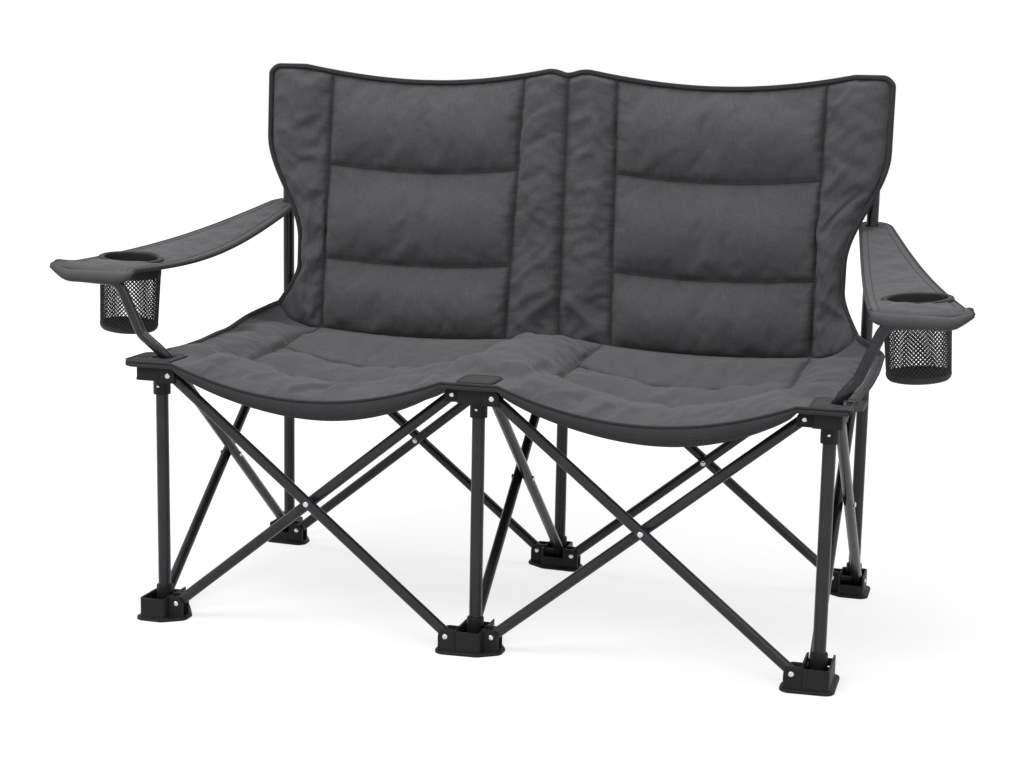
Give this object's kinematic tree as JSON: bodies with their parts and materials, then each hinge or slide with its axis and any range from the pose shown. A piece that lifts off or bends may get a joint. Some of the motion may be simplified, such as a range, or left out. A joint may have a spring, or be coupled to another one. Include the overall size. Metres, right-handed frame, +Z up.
{
  "type": "folding camping loveseat",
  "caption": "Double folding camp chair with padded charcoal cloth, crossed steel tube frame, black plastic feet and hubs, and cup holders in the armrests.",
  "frame": {"origin": "floor level, on the centre column's line, midway between the seat's front edge and the armrests' rear ends", "axes": "+X to the right seen from the front, +Y from the front to the back, +Z up"},
  "size_m": [1.3728, 0.5655, 0.8342],
  "materials": {
    "frame_steel": "satin powder coat",
    "black_plastic": "matte",
    "rivet_steel": "zinc plated",
    "padded_cloth": "coarse woven",
    "cup_net": "open net"
  },
  "bodies": {
    "rear_centre": {"foot_rear_centre": "black_plastic", "post_rear_centre": "frame_steel", "sleeve_rear_centre": "black_plastic", "cap_rear_centre": "black_plastic", "back_panel": "padded_cloth"},
    "brace_rear_left_fall": {"brace_rear_left_fall": "frame_steel", "rivet_rear_left": "rivet_steel"},
    "brace_rear_left_climb": {"brace_rear_left_climb": "frame_steel"},
    "rear_left": {"foot_rear_left": "black_plastic", "post_rear_left": "frame_steel", "sleeve_rear_left": "black_plastic", "cap_rear_left": "black_plastic"},
    "slider_rear_left": {"slider_rear_left": "black_plastic"},
    "slider_rear_centre": {"slider_rear_centre": "black_plastic"},
    "brace_rear_right_climb": {"brace_rear_right_climb": "frame_steel", "rivet_rear_right": "rivet_steel"},
    "brace_rear_right_fall": {"brace_rear_right_fall": "frame_steel"},
    "rear_right": {"foot_rear_right": "black_plastic", "post_rear_right": "frame_steel", "sleeve_rear_right": "black_plastic", "cap_rear_right": "black_plastic"},
    "slider_rear_right": {"slider_rear_right": "black_plastic"},
    "brace_side_centre_arm": {"brace_side_centre_arm": "frame_steel", "rivet_side_centre": "rivet_steel"},
    "brace_side_centre": {"brace_side_centre": "frame_steel"},
    "foot_front_centre": {"foot_front_centre": "black_plastic"},
    "front_centre": {"hub_front_centre": "black_plastic", "post_front_centre": "frame_steel", "sleeve_front_centre": "black_plastic"},
    "brace_front_left_fall": {"brace_front_left_fall": "frame_steel", "rivet_front_left": "rivet_steel"},
    "brace_front_left_climb": {"brace_front_left_climb": "frame_steel"},
    "foot_front_left": {"foot_front_left": "black_plastic"},
    "front_left": {"hub_front_left": "black_plastic", "post_front_left": "frame_steel", "sleeve_front_left": "black_plastic"},
    "brace_front_right_climb": {"brace_front_right_climb": "frame_steel", "rivet_front_right": "rivet_steel"},
    "brace_front_right_fall": {"brace_front_right_fall": "frame_steel"},
    "foot_front_right": {"foot_front_right": "black_plastic"},
    "front_right": {"hub_front_right": "black_plastic", "post_front_right": "frame_steel", "sleeve_front_right": "black_plastic"},
    "arm_tube_left": {"arm_tube_left": "frame_steel", "rivet_side_left": "rivet_steel"},
    "brace_side_left": {"brace_side_left": "frame_steel"},
    "armrest_front_left": {"armrest_front_left": "padded_cloth", "cup_ring_left": "black_plastic", "cup_left": "cup_net"},
    "armrest_rear_left": {"armrest_rear_left": "padded_cloth"},
    "arm_tube_right": {"arm_tube_right": "frame_steel", "rivet_side_right": "rivet_steel"},
    "brace_side_right": {"brace_side_right": "frame_steel"},
    "armrest_front_right": {"armrest_front_right": "padded_cloth", "cup_ring_right": "black_plastic", "cup_right": "cup_net"},
    "armrest_rear_right": {"armrest_rear_right": "padded_cloth"},
    "seat_front": {"seat_front": "padded_cloth"},
    "seat_rear": {"seat_rear": "padded_cloth"}
  },
  "joints": [
    {"name": "fold", "type": "hinge", "parent": "rear_centre", "child": "brace_rear_left_fall", "pos_m": [-0.032, 0.2395, 0.025], "axis": [0, 1, 0], "range_deg": [0, 43], "deforming": ["back_panel", "seat_front", "seat_rear", "armrest_front_left", "armrest_front_right", "armrest_rear_left", "armrest_rear_right"]},
    {"name": "cross_rear_left", "type": "hinge", "parent": "brace_rear_left_fall", "child": "brace_rear_left_climb", "pos_m": [-0.25, 0.231, 0.202], "axis": [0, -1, 0], "range_deg": [0, 86]},
    {"name": "foot_rear_left_pin", "type": "hinge", "parent": "brace_rear_left_climb", "child": "rear_left", "pos_m": [-0.468, 0.2225, 0.025], "axis": [0, 1, 0], "range_deg": [0, 43]},
    {"name": "slider_rear_left_pin", "type": "hinge", "parent": "brace_rear_left_fall", "child": "slider_rear_left", "pos_m": [-0.468, 0.2395, 0.379], "axis": [0, -1, 0], "range_deg": [0, 43]},
    {"name": "slider_rear_centre_pin", "type": "hinge", "parent": "brace_rear_left_climb", "child": "slider_rear_centre", "pos_m": [-0.032, 0.2225, 0.379], "axis": [0, 1, 0], "range_deg": [0, 43]},
    {"name": "foot_rear_centre_pin", "type": "hinge", "parent": "rear_centre", "child": "brace_rear_right_climb", "pos_m": [0.032, 0.2225, 0.025], "axis": [0, -1, 0], "range_deg": [0, 43]},
    {"name": "cross_rear_right", "type": "hinge", "parent": "brace_rear_right_climb", "child": "brace_rear_right_fall", "pos_m": [0.25, 0.231, 0.202], "axis": [0, 1, 0], "range_deg": [0, 86]},
    {"name": "foot_rear_right_pin", "type": "hinge", "parent": "brace_rear_right_fall", "child": "rear_right", "pos_m": [0.468, 0.2395, 0.025], "axis": [0, -1, 0], "range_deg": [0, 43]},
    {"name": "slider_rear_right_pin", "type": "hinge", "parent": "brace_rear_right_climb", "child": "slider_rear_right", "pos_m": [0.468, 0.2225, 0.379], "axis": [0, 1, 0], "range_deg": [0, 43]},
    {"name": "side_centre_pin", "type": "hinge", "parent": "rear_centre", "child": "brace_side_centre_arm", "pos_m": [0.0085, 0.23, 0.025], "axis": [-1, 0, 0], "range_deg": [0, 43]},
    {"name": "cross_side_centre", "type": "hinge", "parent": "brace_side_centre_arm", "child": "brace_side_centre", "pos_m": [0, 0.012, 0.202], "axis": [1, 0, 0], "range_deg": [0, 86]},
    {"name": "foot_front_centre_pin", "type": "hinge", "parent": "brace_side_centre", "child": "foot_front_centre", "pos_m": [-0.0085, -0.206, 0.025], "axis": [-1, 0, 0], "range_deg": [0, 43]},
    {"name": "hub_front_centre_pin", "type": "hinge", "parent": "brace_side_centre_arm", "child": "front_centre", "pos_m": [0.0085, -0.206, 0.379], "axis": [1, 0, 0], "range_deg": [0, 43]},
    {"name": "front_left_pin", "type": "hinge", "parent": "foot_front_centre", "child": "brace_front_left_fall", "pos_m": [-0.032, -0.2655, 0.025], "axis": [0, 1, 0], "range_deg": [0, 43]},
    {"name": "cross_front_left", "type": "hinge", "parent": "brace_front_left_fall", "child": "brace_front_left_climb", "pos_m": [-0.25, -0.257, 0.202], "axis": [0, -1, 0], "range_deg": [0, 86]},
    {"name": "foot_front_left_pin", "type": "hinge", "parent": "brace_front_left_climb", "child": "foot_front_left", "pos_m": [-0.468, -0.2485, 0.025], "axis": [0, 1, 0], "range_deg": [0, 43]},
    {"name": "hub_front_left_pin", "type": "hinge", "parent": "brace_front_left_fall", "child": "front_left", "pos_m": [-0.468, -0.2655, 0.379], "axis": [0, -1, 0], "range_deg": [0, 43]},
    {"name": "front_right_pin", "type": "hinge", "parent": "foot_front_centre", "child": "brace_front_right_climb", "pos_m": [0.032, -0.2485, 0.025], "axis": [0, -1, 0], "range_deg": [0, 43]},
    {"name": "cross_front_right", "type": "hinge", "parent": "brace_front_right_climb", "child": "brace_front_right_fall", "pos_m": [0.25, -0.257, 0.202], "axis": [0, 1, 0], "range_deg": [0, 86]},
    {"name": "foot_front_right_pin", "type": "hinge", "parent": "brace_front_right_fall", "child": "foot_front_right", "pos_m": [0.468, -0.2655, 0.025], "axis": [0, -1, 0], "range_deg": [0, 43]},
    {"name": "hub_front_right_pin", "type": "hinge", "parent": "brace_front_right_climb", "child": "front_right", "pos_m": [0.468, -0.2485, 0.379], "axis": [0, 1, 0], "range_deg": [0, 43]},
    {"name": "arm_tube_left_pin", "type": "hinge", "parent": "rear_left", "child": "arm_tube_left", "pos_m": [-0.4915, 0.23, 0.025], "axis": [-1, 0, 0], "range_deg": [0, 43]},
    {"name": "cross_side_left", "type": "hinge", "parent": "arm_tube_left", "child": "brace_side_left", "pos_m": [-0.5, 0.012, 0.202], "axis": [1, 0, 0], "range_deg": [0, 86]},
    {"name": "armrest_left_hem", "type": "hinge", "parent": "arm_tube_left", "child": "armrest_front_left", "pos_m": [-0.61, -0.238, 0.515], "axis": [-1, 0, 0], "range_deg": [0, 63.88]},
    {"name": "armrest_left_fold", "type": "hinge", "parent": "armrest_front_left", "child": "armrest_rear_left", "pos_m": [-0.55, 0.056, 0.54911], "axis": [1, 0, 0], "range_deg": [0, 158.21]},
    {"name": "arm_tube_right_pin", "type": "hinge", "parent": "rear_right", "child": "arm_tube_right", "pos_m": [0.5085, 0.23, 0.025], "axis": [-1, 0, 0], "range_deg": [0, 43]},
    {"name": "cross_side_right", "type": "hinge", "parent": "arm_tube_right", "child": "brace_side_right", "pos_m": [0.5, 0.012, 0.202], "axis": [1, 0, 0], "range_deg": [0, 86]},
    {"name": "armrest_right_hem", "type": "hinge", "parent": "arm_tube_right", "child": "armrest_front_right", "pos_m": [0.61, -0.238, 0.515], "axis": [-1, 0, 0], "range_deg": [0, 63.88]},
    {"name": "armrest_right_fold", "type": "hinge", "parent": "armrest_front_right", "child": "armrest_rear_right", "pos_m": [0.55, 0.056, 0.54911], "axis": [1, 0, 0], "range_deg": [0, 158.21]},
    {"name": "seat_front_hang", "type": "hinge", "parent": "front_centre", "child": "seat_front", "pos_m": [0, -0.232, 0.3953], "axis": [-1, 0, 0], "range_deg": [0, 78.64]},
    {"name": "seat_rear_hang", "type": "hinge", "parent": "rear_centre", "child": "seat_rear", "pos_m": [0, 0.193, 0.3853], "axis": [1, 0, 0], "range_deg": [0, 80.33]}
  ],
  "couplings": [
    {"joint": "cross_rear_left", "follows": "fold", "ratio": 2},
    {"joint": "foot_rear_left_pin", "follows": "fold", "ratio": 1},
    {"joint": "slider_rear_left_pin", "follows": "fold", "ratio": 1},
    {"joint": "slider_rear_centre_pin", "follows": "fold", "ratio": 1},
    {"joint": "foot_rear_centre_pin", "follows": "fold", "ratio": 1},
    {"joint": "cross_rear_right", "follows": "fold", "ratio": 2},
    {"joint": "foot_rear_right_pin", "follows": "fold", "ratio": 1},
    {"joint": "slider_rear_right_pin", "follows": "fold", "ratio": 1},
    {"joint": "side_centre_pin", "follows": "fold", "ratio": 1},
    {"joint": "cross_side_centre", "follows": "fold", "ratio": 2},
    {"joint": "foot_front_centre_pin", "follows": "fold", "ratio": 1},
    {"joint": "hub_front_centre_pin", "follows": "fold", "ratio": 1},
    {"joint": "front_left_pin", "follows": "fold", "ratio": 1},
    {"joint": "cross_front_left", "follows": "fold", "ratio": 2},
    {"joint": "foot_front_left_pin", "follows": "fold", "ratio": 1},
    {"joint": "hub_front_left_pin", "follows": "fold", "ratio": 1},
    {"joint": "front_right_pin", "follows": "fold", "ratio": 1},
    {"joint": "cross_front_right", "follows": "fold", "ratio": 2},
    {"joint": "foot_front_right_pin", "follows": "fold", "ratio": 1},
    {"joint": "hub_front_right_pin", "follows": "fold", "ratio": 1},
    {"joint": "arm_tube_left_pin", "follows": "fold", "ratio": 1},
    {"joint": "cross_side_left", "follows": "fold", "ratio": 2},
    {"joint": "armrest_left_hem", "follows": "fold", "ratio": 1.4854},
    {"joint": "armrest_left_fold", "follows": "fold", "ratio": 3.6792},
    {"joint": "arm_tube_right_pin", "follows": "fold", "ratio": 1},
    {"joint": "cross_side_right", "follows": "fold", "ratio": 2},
    {"joint": "armrest_right_hem", "follows": "fold", "ratio": 1.4854},
    {"joint": "armrest_right_fold", "follows": "fold", "ratio": 3.6792},
    {"joint": "seat_front_hang", "follows": "fold", "ratio": 1.8286},
    {"joint": "seat_rear_hang", "follows": "fold", "ratio": 1.8679}
  ]
}
